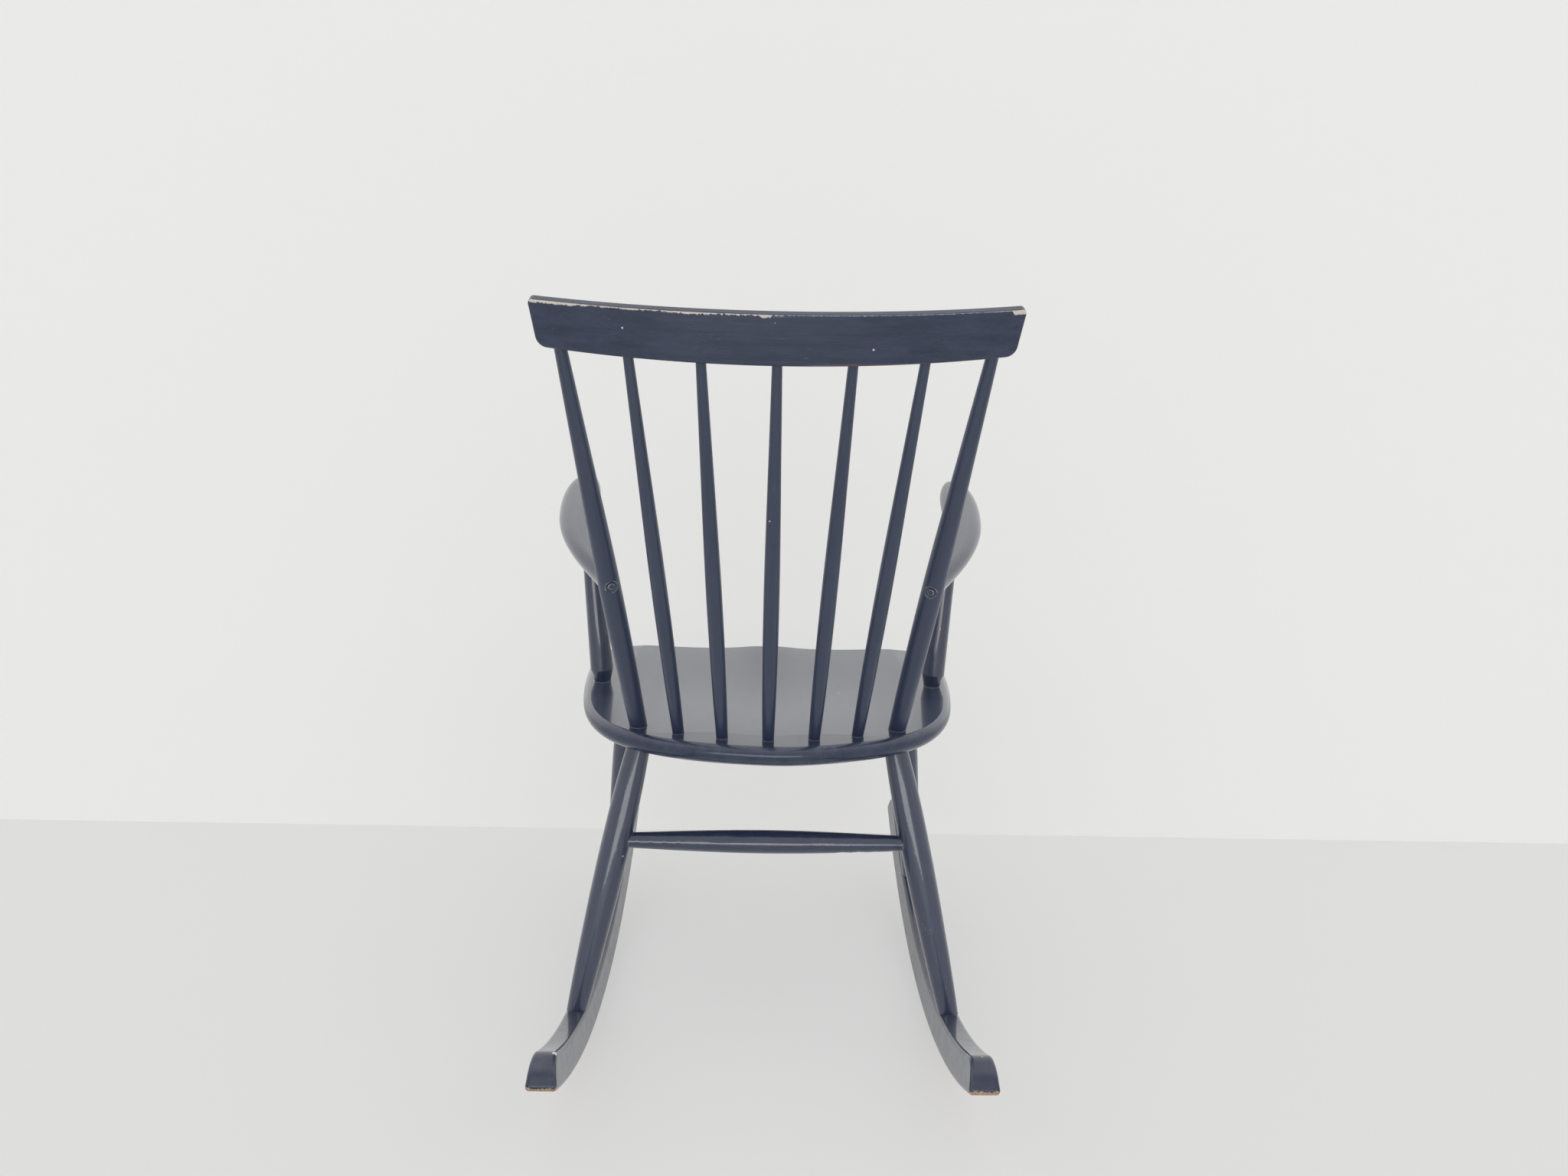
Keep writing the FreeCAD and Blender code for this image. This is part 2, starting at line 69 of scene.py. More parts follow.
def make(tree, kind, sockets, **options):
    """Adds a node, sets its options, and fills or wires its inputs."""
    node = tree.nodes.new(kind)
    for option, choice in options.items():
        setattr(node, option, choice)
    for key, value in sockets.items():
        if isinstance(value, bpy.types.NodeSocket):
            tree.links.new(value, node.inputs[key])
        else:
            node.inputs[key].default_value = value
    return node


def calc(tree, operation, first, second=0.0, clamp=False):
    node = make(tree, "ShaderNodeMath", {0: first, 1: second}, operation=operation, use_clamp=clamp)
    return node.outputs[0]


def multiply_add(tree, value, factor, addend):
    node = make(tree, "ShaderNodeMath", {0: value, 1: factor, 2: addend}, operation="MULTIPLY_ADD")
    return node.outputs[0]


def vector_calc(tree, operation, first, second):
    node = make(tree, "ShaderNodeVectorMath", {0: first, 1: second}, operation=operation)
    return node.outputs["Vector"]


def dot(tree, first, second):
    node = make(tree, "ShaderNodeVectorMath", {0: first, 1: second}, operation="DOT_PRODUCT")
    return node.outputs["Value"]


def distance(tree, first, second):
    node = make(tree, "ShaderNodeVectorMath", {0: first, 1: second}, operation="DISTANCE")
    return node.outputs["Value"]


def scaled(tree, vector, factor):
    node = make(tree, "ShaderNodeVectorMath", {0: vector, "Scale": factor}, operation="SCALE")
    return node.outputs["Vector"]


def ramp(tree, value, low, high, start=0.0, end=1.0):
    """A soft step from start, where value is low, to end, where it is high."""
    sockets = {"Value": value, "From Min": low, "From Max": high, "To Min": start, "To Max": end}
    return make(tree, "ShaderNodeMapRange", sockets, interpolation_type="SMOOTHSTEP").outputs["Result"]


def blend(tree, share, first, second):
    """A colour between first and second."""
    node = make(tree, "ShaderNodeMix", {0: share, 6: first, 7: second}, data_type="RGBA")
    return node.outputs[2]


def noise(tree, position, scale, detail=2.0, roughness=0.5):
    sockets = {"Vector": position, "Scale": scale, "Detail": detail, "Roughness": roughness}
    return make(tree, "ShaderNodeTexNoise", sockets).outputs["Fac"]


def object_place(tree):
    """The place on the chair, whole and by its three parts."""
    place = make(tree, "ShaderNodeTexCoord", {}).outputs["Object"]
    return place, make(tree, "ShaderNodeSeparateXYZ", {0: place}).outputs


def either_side(tree, parts):
    """The same place on the sitter's left, for what is alike on both sides."""
    sockets = {0: calc(tree, "ABSOLUTE", parts["X"]), 1: parts["Y"], 2: parts["Z"]}
    return make(tree, "ShaderNodeCombineXYZ", sockets).outputs[0]


def facing(tree, direction):
    """How far a face looks in a direction, from -1 to 1."""
    return dot(tree, make(tree, "ShaderNodeNewGeometry", {}).outputs["Normal"], direction)


def new_group(name, inputs, outputs):
    tree = bpy.data.node_groups.new(name, "ShaderNodeTree")
    for label, kind, value in inputs:
        socket = tree.interface.new_socket(name=label, in_out="INPUT", socket_type=kind)
        socket.default_value = value
    for label, kind in outputs:
        tree.interface.new_socket(name=label, in_out="OUTPUT", socket_type=kind)
    return tree, tree.nodes.new("NodeGroupInput").outputs, tree.nodes.new("NodeGroupOutput").inputs


def use(tree, group, sockets):
    """Places a group in a material, with its own values."""
    return make(tree, "ShaderNodeGroup", sockets, node_tree=group).outputs


# Effects that several finishes share

def grain_group():
    """Streaks that run along a piece, with softer clouds between them."""
    inputs = [("Position", VECTOR, (0, 0, 0)), ("Along", VECTOR, (0, 0, 1)),
              ("Fineness", FLOAT, 700.0), ("Stretch", FLOAT, 18.0)]
    tree, given, made = new_group("Grain", inputs, [("Streaks", FLOAT), ("Clouds", FLOAT)])
    along = dot(tree, given["Position"], given["Along"])
    drop = calc(tree, "SUBTRACT", 1.0, calc(tree, "DIVIDE", 1.0, given["Stretch"]))
    shift = scaled(tree, given["Along"], calc(tree, "MULTIPLY", along, drop))
    squeezed = vector_calc(tree, "SUBTRACT", given["Position"], shift)
    tree.links.new(noise(tree, squeezed, given["Fineness"], 4.0, 0.6), made["Streaks"])
    coarse = calc(tree, "MULTIPLY", given["Fineness"], 0.14)
    tree.links.new(noise(tree, squeezed, coarse, 3.0, 0.55), made["Clouds"])
    return tree


def rubbed_edge_group():
    """Where hands and floors have rubbed the convex edges, bare and merely dulled."""
    inputs = [("Position", VECTOR, (0, 0, 0)), ("Reach", FLOAT, 0.005),
              ("Wear", FLOAT, 0.4), ("Raggedness", FLOAT, 260.0)]
    tree, given, made = new_group("Rubbed edges", inputs, [("Bare", FLOAT), ("Dulled", FLOAT)])
    around = make(tree, "ShaderNodeAmbientOcclusion", {"Distance": given["Reach"]},
                  samples=6, inside=True, only_local=True)
    edge = calc(tree, "SUBTRACT", 1.0, around.outputs["AO"])
    ragged = noise(tree, given["Position"], given["Raggedness"], 5.0, 0.65)
    level = calc(tree, "ADD", edge, multiply_add(tree, ragged, 0.6, -0.3))
    start = calc(tree, "SUBTRACT", 1.0, given["Wear"])
    end = calc(tree, "ADD", start, 0.06)
    tree.links.new(ramp(tree, level, start, end), made["Bare"])
    soft_start = calc(tree, "SUBTRACT", start, 0.22)
    tree.links.new(ramp(tree, level, soft_start, end), made["Dulled"])
    return tree


def joint_highlight_group():
    """A fine pale line painted where one piece meets another: a painted highlight on the paint in the
    joint.
    """
    inputs = [("Position", VECTOR, (0, 0, 0)), ("Reach", FLOAT, 0.0012)]
    tree, given, made = new_group("Joint highlight", inputs, [("Line", FLOAT)])
    around = make(tree, "ShaderNodeAmbientOcclusion", {"Distance": given["Reach"]}, samples=6)
    closed = calc(tree, "SUBTRACT", 1.0, around.outputs["AO"])
    broken = noise(tree, given["Position"], 180.0, 3.0)
    level = calc(tree, "ADD", closed, multiply_add(tree, broken, 0.35, -0.175))
    tree.links.new(ramp(tree, level, 0.26, 0.42), made["Line"])
    return tree


def dust_group():
    """Dust that settles on what faces up, in thin clouds."""
    inputs = [("Position", VECTOR, (0, 0, 0)), ("Amount", FLOAT, 0.5)]
    tree, given, made = new_group("Settled dust", inputs, [("Dust", FLOAT)])
    upward = ramp(tree, facing(tree, (0.0, 0.0, 1.0)), 0.25, 1.0)
    clouds = ramp(tree, noise(tree, given["Position"], 34.0, 6.0, 0.7), 0.35, 0.75)
    fall = calc(tree, "MULTIPLY", upward, multiply_add(tree, clouds, 0.7, 0.3))
    tree.links.new(calc(tree, "MULTIPLY", fall, given["Amount"], True), made["Dust"])
    return tree


def chip_group():
    """Small sparse knocks that show the pale undercoat."""
    inputs = [("Position", VECTOR, (0, 0, 0)), ("Spacing", FLOAT, 30.0),
              ("Size", FLOAT, 0.03), ("Share", FLOAT, 0.3)]
    tree, given, made = new_group("Chips", inputs, [("Chips", FLOAT)])
    wobble = make(tree, "ShaderNodeTexNoise", {"Vector": given["Position"], "Scale": 420.0})
    moved = scaled(tree, vector_calc(tree, "SUBTRACT", wobble.outputs["Color"], (0.5, 0.5, 0.5)), 0.002)
    place = vector_calc(tree, "ADD", given["Position"], moved)
    cells = make(tree, "ShaderNodeTexVoronoi", {"Vector": place, "Scale": given["Spacing"]})
    near = calc(tree, "LESS_THAN", cells.outputs["Distance"], given["Size"])
    picked = make(tree, "ShaderNodeSeparateColor", {"Color": cells.outputs["Color"]})
    some = calc(tree, "LESS_THAN", picked.outputs[0], given["Share"])
    tree.links.new(calc(tree, "MULTIPLY", near, some), made["Chips"])
    return tree


def scuff_group():
    """Light rubs and hair scratches across the gloss."""
    inputs = [("Position", VECTOR, (0, 0, 0)), ("Along", VECTOR, (0, 0, 1)), ("Amount", FLOAT, 0.5)]
    tree, given, made = new_group("Scuffs", inputs, [("Scuffs", FLOAT), ("Haze", FLOAT)])
    along = dot(tree, given["Position"], given["Along"])
    shift = scaled(tree, given["Along"], calc(tree, "MULTIPLY", along, 0.93))
    squeezed = vector_calc(tree, "SUBTRACT", given["Position"], shift)
    lines = noise(tree, squeezed, 900.0, 3.0, 0.6)
    patches = ramp(tree, noise(tree, given["Position"], 21.0, 3.0), 0.52, 0.72)
    scratch = calc(tree, "MULTIPLY", ramp(tree, lines, 0.6, 0.72), patches)
    tree.links.new(calc(tree, "MULTIPLY", scratch, given["Amount"], True), made["Scuffs"])
    haze = ramp(tree, noise(tree, given["Position"], 46.0, 5.0, 0.65), 0.35, 0.8)
    tree.links.new(calc(tree, "MULTIPLY", haze, given["Amount"], True), made["Haze"])
    return tree


EFFECTS = {
    "grain": grain_group,
    "rubbed": rubbed_edge_group,
    "joint": joint_highlight_group,
    "dust": dust_group,
    "chips": chip_group,
    "scuffs": scuff_group,
}


def effect(name):
    """The shared effect of that name, made the first time that it is asked for."""
    label = "chair " + name
    if label not in bpy.data.node_groups:
        EFFECTS[name]().name = label
    return bpy.data.node_groups[label]


# Settings

class ChairLacquerSettings(bpy.types.PropertyGroup):
    lacquer_color: bpy.props.FloatVectorProperty(
        name="Lacquer", description="Colour of the sound lacquer",
        subtype="COLOR", size=3, min=0.0, max=1.0, default=(0.013, 0.022, 0.058))
    lacquer_faded_color: bpy.props.FloatVectorProperty(
        name="Faded lacquer", description="Colour of the lacquer where it has faded",
        subtype="COLOR", size=3, min=0.0, max=1.0, default=(0.033, 0.046, 0.092))
    undercoat_color: bpy.props.FloatVectorProperty(
        name="Undercoat", description="Colour of the undercoat that shows in chips and on rubbed edges",
        subtype="COLOR", size=3, min=0.0, max=1.0, default=(0.60, 0.53, 0.46))
    wood_color: bpy.props.FloatVectorProperty(
        name="Bare wood", description="Colour of the bare wood under the rockers",
        subtype="COLOR", size=3, min=0.0, max=1.0, default=(0.50, 0.30, 0.19))
    # This colour also paints the highlight lines at the joints.
    dust_and_highlight_color: bpy.props.FloatVectorProperty(
        name="Dust", description="Colour of settled dust and of the lines at the joints",
        subtype="COLOR", size=3, min=0.0, max=1.0, default=(0.40, 0.41, 0.42))
    gloss_roughness: bpy.props.FloatProperty(
        name="Roughness", description="Roughness of the sound lacquer",
        subtype="FACTOR", min=0.0, max=1.0, default=0.2)
    coat_roughness: bpy.props.FloatProperty(
        name="Coat roughness", description="Roughness of the clear coat",
        subtype="FACTOR", min=0.0, max=1.0, default=0.05)
    skin_depth: bpy.props.FloatProperty(
        name="Skin depth", description="Depth of the grain and brush marks in the lacquer",
        subtype="DISTANCE", unit="LENGTH", min=0.0, max=0.001, default=0.00004)
    wear: bpy.props.FloatProperty(
        name="Wear", description="How far the edges are rubbed through",
        subtype="FACTOR", min=0.0, max=1.0, default=0.5)


class ChairStageSettings(bpy.types.PropertyGroup):
    floor_color: bpy.props.FloatVectorProperty(
        name="Floor", description="Colour of the floor",
        subtype="COLOR", size=3, min=0.0, max=1.0, default=(0.77, 0.77, 0.765))
    wall_color: bpy.props.FloatVectorProperty(
        name="Wall", description="Colour of the wall and of the room",
        subtype="COLOR", size=3, min=0.0, max=1.0, default=(0.89, 0.888, 0.87))
    wall_place: bpy.props.FloatProperty(
        name="Wall distance", description="Distance of the wall in front of the chair's middle",
        subtype="DISTANCE", unit="LENGTH", min=0.4, max=5.0, default=0.51)
    wall_turn: bpy.props.FloatProperty(
        name="Wall turn", description="How far the wall is out of square with the chair",
        subtype="ANGLE", unit="ROTATION", default=-0.006226)
    reach: bpy.props.FloatProperty(
        name="Reach", description="How far the floor and the wall run",
        subtype="DISTANCE", unit="LENGTH", min=2.0, max=100.0, default=30.0)
    wall_height: bpy.props.FloatProperty(
        name="Wall height", description="Height of the wall",
        subtype="DISTANCE", unit="LENGTH", min=1.0, max=20.0, default=6.0)
    room_light: bpy.props.FloatProperty(
        name="Room light", description="Strength of the even light of the room",
        min=0.0, max=5.0, default=1.0)
    floor_evenness: bpy.props.FloatProperty(
        name="Floor evenness", description="How far the floor's tone in the picture is free of shadow",
        subtype="FACTOR", min=0.0, max=1.0, default=0.65)
    wall_evenness: bpy.props.FloatProperty(
        name="Wall evenness", description="How far the wall's tone in the picture is free of shadow",
        subtype="FACTOR", min=0.0, max=1.0, default=0.5)
    lamp_power: bpy.props.FloatProperty(
        name="Lamp", description="Power of the low soft lamp that shows in the legs",
        subtype="POWER", unit="POWER", min=0.0, max=1000.0, default=5.5)
    lamp_place: bpy.props.FloatVectorProperty(
        name="Lamp place", description="Where the low lamp stands behind the chair",
        subtype="XYZ", unit="LENGTH", size=3, default=(0.10, 1.7, 0.22))
    lamp_target: bpy.props.FloatVectorProperty(
        name="Lamp target", description="The place that the low lamp faces",
        subtype="XYZ", unit="LENGTH", size=3, default=(0.0, 0.0, 0.22))
    lamp_width: bpy.props.FloatProperty(
        name="Lamp width", description="Width of the low lamp",
        subtype="DISTANCE", unit="LENGTH", min=0.01, max=5.0, default=1.2)
    lamp_height: bpy.props.FloatProperty(
        name="Lamp height", description="Height of the low lamp",
        subtype="DISTANCE", unit="LENGTH", min=0.01, max=5.0, default=0.42)


class ChairCameraSettings(bpy.types.PropertyGroup):
    place: bpy.props.FloatVectorProperty(
        name="Place", description="Where the camera stands",
        subtype="XYZ", unit="LENGTH", size=3, default=(0.01224, 1.46174, 0.83024))
    turn: bpy.props.FloatProperty(
        name="Turn", description="How far the camera turns from looking straight along the chair",
        subtype="ANGLE", unit="ROTATION", default=0.0204236)
    drop: bpy.props.FloatProperty(
        name="Drop", description="How far the camera looks down",
        subtype="ANGLE", unit="ROTATION", default=0.1974476)
    roll: bpy.props.FloatProperty(
        name="Roll", description="How far the camera leans to its side",
        subtype="ANGLE", unit="ROTATION", default=0.0212466)
    lens: bpy.props.FloatProperty(
        name="Lens", description="Focal length on a sensor 36 mm wide, in mm",
        min=10.0, max=200.0, default=27.42)


# Finishes

def lacquer_masks(tree, place, parts, grain, fineness, reach, wear, dust, scuffs):
    """The effects that the colour, the roughness and the skin of the lacquer share."""
    figure = {"Position": either_side(tree, parts), "Along": grain, "Fineness": fineness}
    streaks = use(tree, effect("grain"), figure)
    rubbed = use(tree, effect("rubbed"), {"Position": place, "Reach": reach, "Wear": wear})
    marks = use(tree, effect("scuffs"), {"Position": place, "Along": grain, "Amount": scuffs})
    chips = use(tree, effect("chips"), {"Position": place})["Chips"]
    return {
        "streaks": streaks["Streaks"],
        "clouds": streaks["Clouds"],
        "dulled": rubbed["Dulled"],
        "bare": calc(tree, "MAXIMUM", rubbed["Bare"], chips),
        "joint": use(tree, effect("joint"), {"Position": place})["Line"],
        "dust": use(tree, effect("dust"), {"Position": place, "Amount": dust})["Dust"],
        "scuffs": marks["Scuffs"],
        "haze": marks["Haze"],
    }


def lacquer_color(tree, paint, masks, fade, lines):
    """Sound and faded lacquer in streaks, under dust, scuffs and the painted highlight lines at the
    joints.
    """
    shades = multiply_add(tree, masks["streaks"], 0.35, calc(tree, "MULTIPLY", masks["clouds"], 0.65))
    faded = ramp(tree, shades, 0.3 - fade, 0.7 - fade)
    color = blend(tree, faded, (*paint.lacquer_color, 1), (*paint.lacquer_faded_color, 1))
    # The joint lines laid here in the pale colour are painted highlights.
    for mask, share in (("dust", 0.10), ("scuffs", 0.35), ("joint", lines), ("dulled", 0.10)):
        color = blend(tree, calc(tree, "MULTIPLY", masks[mask], share), color, (*paint.dust_and_highlight_color, 1))
    return blend(tree, masks["bare"], color, (*paint.undercoat_color, 1))


def lacquer_roughness(tree, paint, masks, gloss, worn):
    rough = multiply_add(tree, masks["haze"], 0.12, paint.gloss_roughness / gloss)
    rough = multiply_add(tree, masks["dust"], 0.08, rough)
    rough = multiply_add(tree, masks["scuffs"], 0.15, rough)
    return calc(tree, "ADD", rough, calc(tree, "MULTIPLY", worn, 0.4), True)


def lacquer_skin(tree, paint, masks, place, worn):
    """Grain and brush marks that stand in the lacquer, and the step down where it is worn off and where
    the painted highlight ring round the post screws lies.
    """
    brushed = noise(tree, place, 420.0, 2.0)
    height = multiply_add(tree, masks["streaks"], 0.7, calc(tree, "MULTIPLY", brushed, 0.6))
    height = calc(tree, "SUBTRACT", height, calc(tree, "MULTIPLY", worn, 4.0))
    bump = make(tree, "ShaderNodeBump", {"Height": height, "Strength": 1.0, "Distance": paint.skin_depth})
    return bump.outputs["Normal"]


def lacquer_material(name, grain, coat=0.7, gloss=1.0, wear=1.0, reach=0.005, fineness=700.0, dust=0.5,
                     scuffs=0.5, lines=0.5, fade=0.0, thin_coat=None, special=None):
    """The worn lacquer on one kind of piece. thin_coat tells, from the way a face looks, what share
    of the clear coat it has, special adds the marks that only this kind of piece has: wear, and on the
    posts a painted highlight ring round each screw, and lines sets the strength of the pale lines at
    the joints, which are painted highlights."""
    paint = bpy.context.scene.chair_lacquer
    material = bpy.data.materials.new(name)
    material.use_nodes = True
    tree = material.node_tree
    shader = tree.nodes["Principled BSDF"]
    shader.inputs["Coat Weight"].default_value = coat
    shader.inputs["Coat Roughness"].default_value = paint.coat_roughness
    place, parts = object_place(tree)
    masks = lacquer_masks(tree, place, parts, grain, fineness, reach, paint.wear * wear, dust, scuffs)
    color = lacquer_color(tree, paint, masks, fade, lines)
    worn = masks["bare"]
    if special:
        # On the posts this mask is the painted highlight ring round the screws, not bare paint.
        bare, special_color = special(tree, place, parts, paint)
        color = blend(tree, bare, color, special_color)
        worn = calc(tree, "MAXIMUM", worn, bare)
    if thin_coat:
        tree.links.new(calc(tree, "MULTIPLY", thin_coat(tree), coat), shader.inputs["Coat Weight"])
    tree.links.new(color, shader.inputs["Base Color"])
    tree.links.new(lacquer_roughness(tree, paint, masks, gloss, worn), shader.inputs["Roughness"])
    tree.links.new(lacquer_skin(tree, paint, masks, place, worn), shader.inputs["Normal"])
    return material


def thin_on_rim(tree):
    """The full coat on what faces up, and little on the rim."""
    return ramp(tree, facing(tree, (0.0, 0.0, 1.0)), 0.3, 0.8, 0.1, 1.0)


def thin_on_ends(tree):
    """The full coat on the top, less on the sides, and hardly any on the front and rear ends."""
    along = calc(tree, "ABSOLUTE", facing(tree, (0.0, 1.0, 0.0)))
    top = ramp(tree, facing(tree, (0.0, 0.0, 1.0)), 0.3, 0.7, 0.65, 1.0)
    return calc(tree, "MULTIPLY", ramp(tree, along, 0.6, 0.85, 1.0, 0.07), top)


def near_place(tree, value, centre, half, soft):
    """One where value is within half of centre, falling to nothing over soft."""
    off = calc(tree, "ABSOLUTE", calc(tree, "SUBTRACT", value, centre))
    return ramp(tree, off, half, half + soft, 1.0, 0.0)


def torn_place(tree, place):
    """The place, shifted a little to and fro, so that what is drawn there gets a ragged rim."""
    wobble = make(tree, "ShaderNodeTexNoise", {"Vector": place, "Scale": 500.0})
    moved = scaled(tree, vector_calc(tree, "SUBTRACT", wobble.outputs["Color"], (0.5, 0.5, 0.5)), 0.004)
    return vector_calc(tree, "ADD", place, moved)


def spot(tree, place, point, radius):
    """One within radius of a point."""
    return ramp(tree, distance(tree, place, point), radius * 0.7, radius, 1.0, 0.0)


def crest_line(tree, parts, below, torn):
    """The rubbed line under the rear top edge: wide on the sitter's left, thin on the right."""
    facing_up = facing(tree, tuple(UP_THE_CREST))
    edge = calc(tree, "MULTIPLY", ramp(tree, facing(tree, BACK_OF_CREST), 0.25, 0.45),
                ramp(tree, facing_up, 0.80, 0.90, 1.0, 0.0))
    wide_end = near_place(tree, parts["X"], 0.209, 0.018, 0.012)
    width = multiply_add(tree, wide_end, 0.0012, ramp(tree, parts["X"], -0.05, 0.12, 0.0007, 0.0012))
    for centre, half, more in CREST_CHIPS:
        width = multiply_add(tree, near_place(tree, parts["X"], centre, half, 0.003), more, width)
    depth = calc(tree, "SUBTRACT", calc(tree, "ADD", width, torn), below)
    return calc(tree, "MULTIPLY", ramp(tree, depth, -0.0001, 0.0003), edge)


def crest_foot_line(tree, parts, above, torn):
    """The brown line along the foot of the right half of the back."""
    low = ramp(tree, calc(tree, "ADD", above, torn), 0.0022, 0.0030, 1.0, 0.0)
    low = calc(tree, "MULTIPLY", low, ramp(tree, parts["X"], -0.06, -0.02, 1.0, 0.0))
    return calc(tree, "MULTIPLY", low, ramp(tree, facing(tree, BACK_OF_CREST), 0.3, 0.6))


def crest_wear(tree, place, parts, paint):
    """The rubbed line along the crest's rear top edge, the line at its foot, and two specks."""
    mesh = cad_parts["crest_rail"].data
    heights = [vertex.co.dot(UP_THE_CREST) for vertex in mesh.vertices]
    crown = calc(tree, "MULTIPLY", calc(tree, "MULTIPLY", parts["X"], parts["X"]), CREST_CROWN_PER_METRE)
    level = calc(tree, "ADD", dot(tree, place, tuple(UP_THE_CREST)), crown)
    ragged = noise(tree, place, 330.0, 5.0, 0.7)
    spread = ramp(tree, parts["X"], -0.05, 0.05, 0.0022, 0.0062)
    torn = calc(tree, "MULTIPLY", calc(tree, "SUBTRACT", ragged, 0.5), spread)
    line = crest_line(tree, parts, calc(tree, "SUBTRACT", max(heights), level), torn)
    foot = crest_foot_line(tree, parts, calc(tree, "SUBTRACT", level, min(heights)), torn)
    specks = calc(tree, "MAXIMUM", *[spot(tree, place, point, radius) for point, radius in CREST_SPECKS])
    tone = ramp(tree, noise(tree, place, 600.0, 3.0), 0.35, 0.65)
    shown = blend(tree, tone, (*paint.undercoat_color, 1), CREST_PALE)
    shown = blend(tree, near_place(tree, parts["X"], -0.10, 0.09, 0.03), shown, CREST_COOL)
    shown = blend(tree, specks, shown, CREST_PALE)
    shown = blend(tree, foot, shown, CREST_BROWN)
    bare = calc(tree, "MAXIMUM", line, specks)
    return calc(tree, "MAXIMUM", bare, calc(tree, "MULTIPLY", foot, 0.8)), shown


def post_screw_ring_highlight(tree, place, parts, paint):
    """A broken pale ring painted round each screw at the rim of the counterbore: a painted highlight. It
    is handed on as bare, so it also gets the rougher, stepped skin of worn paint.
    """
    off = distance(tree, either_side(tree, parts), SCREW_PLACE)
    highlight_ring = near_place(tree, off, SCREW_RING_RADIUS, 0.0003, 0.0004)
    broken = ramp(tree, noise(tree, place, 130.0, 2.0), 0.46, 0.56)
    return calc(tree, "MULTIPLY", highlight_ring, calc(tree, "MULTIPLY", broken, 0.6)), RING_HIGHLIGHT


def rocker_wear(tree, place, parts, paint):
    """Bare wood on the sole and on the lower rim of the ends, with flecks of undercoat, and a chip."""
    down = facing(tree, (0.0, 0.0, -1.0))
    ragged = noise(tree, place, 190.0, 6.0, 0.7)
    torn = calc(tree, "MULTIPLY", calc(tree, "SUBTRACT", ragged, 0.5), 0.9)
    bare = ramp(tree, calc(tree, "ADD", down, torn), 0.62, 0.74)
    flat_place = vector_calc(tree, "MULTIPLY", place, (0.0, 1.0, 1.0))
    height = calc(tree, "SUBTRACT", ROCKER_AXIS[2], distance(tree, flat_place, ROCKER_AXIS))
    height = multiply_add(tree, torn, 0.014, height)
    tip = ramp(tree, calc(tree, "ABSOLUTE", parts["Y"]), 0.370, 0.377)
    rim = calc(tree, "MULTIPLY", ramp(tree, height, 0.0034, 0.0040, 1.0, 0.0), tip)
    bare = calc(tree, "MAXIMUM", bare, rim)
    along = vector_calc(tree, "MULTIPLY", place, (900.0, 40.0, 900.0))
    figure = ramp(tree, noise(tree, along, 1.0, 3.0), 0.3, 0.7)
    dark = tuple(channel * 0.55 for channel in paint.wood_color)
    wood = blend(tree, figure, (*dark, 1), (*paint.wood_color, 1))
    flecks = ramp(tree, noise(tree, place, 520.0, 4.0, 0.7), 0.50, 0.60)
    wood = blend(tree, calc(tree, "MULTIPLY", flecks, 0.7), wood, (*paint.undercoat_color, 1))
    chip = spot(tree, torn_place(tree, place), ROCKER_CHIP, 0.0036)
    return calc(tree, "MAXIMUM", bare, chip), blend(tree, chip, wood, CHIP_WHITE)


def screw_material(name):
    """Painted-over metal, bright again on the rims that a screwdriver has touched."""
    paint = bpy.context.scene.chair_lacquer
    material = bpy.data.materials.new(name)
    material.use_nodes = True
    tree = material.node_tree
    shader = tree.nodes["Principled BSDF"]
    place, parts = object_place(tree)
    wear = {"Position": place, "Reach": 0.0015, "Wear": 0.85, "Raggedness": 700.0}
    rubbed = use(tree, effect("rubbed"), wear)
    clouds = noise(tree, place, 800.0, 4.0, 0.6)
    faded = ramp(tree, clouds, 0.3, 0.7)
    color = blend(tree, faded, (*paint.lacquer_color, 1), (*paint.lacquer_faded_color, 1))
    color = blend(tree, rubbed["Bare"], color, BRIGHT_METAL)
    tree.links.new(color, shader.inputs["Base Color"])
    tree.links.new(calc(tree, "MULTIPLY", rubbed["Bare"], 0.8), shader.inputs["Metallic"])
    tree.links.new(multiply_add(tree, clouds, 0.3, paint.gloss_roughness), shader.inputs["Roughness"])
    bump = make(tree, "ShaderNodeBump", {"Height": clouds, "Distance": paint.skin_depth})
    tree.links.new(bump.outputs["Normal"], shader.inputs["Normal"])
    return material


def finish_nodes(names, material):
    """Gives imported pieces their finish."""
    for name in names:
        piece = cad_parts[name]
        for place in piece.material_slots:
            place.material = material


def pair(name):
    return [f"{name}_{side}" for side in SIDES]


class ChairFinishSeat(bpy.types.Operator):
    """Finishes the hollowed seat board"""
    bl_idname = "chair.finish_seat"
    bl_label = "Seat"

    def execute(self, context):
        material = lacquer_material("seat lacquer", GRAIN_OF_SEAT, coat=0.95, wear=0.6, reach=0.003,
                                    dust=0.6, scuffs=0.4, fineness=500.0, thin_coat=thin_on_rim)
        finish_nodes(["seat"], material)
        return {"FINISHED"}


class ChairFinishCrest(bpy.types.Operator):
    """Finishes the bent crest rail, rubbed through along its top"""
    bl_idname = "chair.finish_crest"
    bl_label = "Crest rail"

    def execute(self, context):
        material = lacquer_material("crest lacquer", GRAIN_OF_CREST, coat=0.1, wear=0.5, reach=0.002,
                                    dust=0.1, special=crest_wear)
        finish_nodes(["crest_rail"], material)
        return {"FINISHED"}


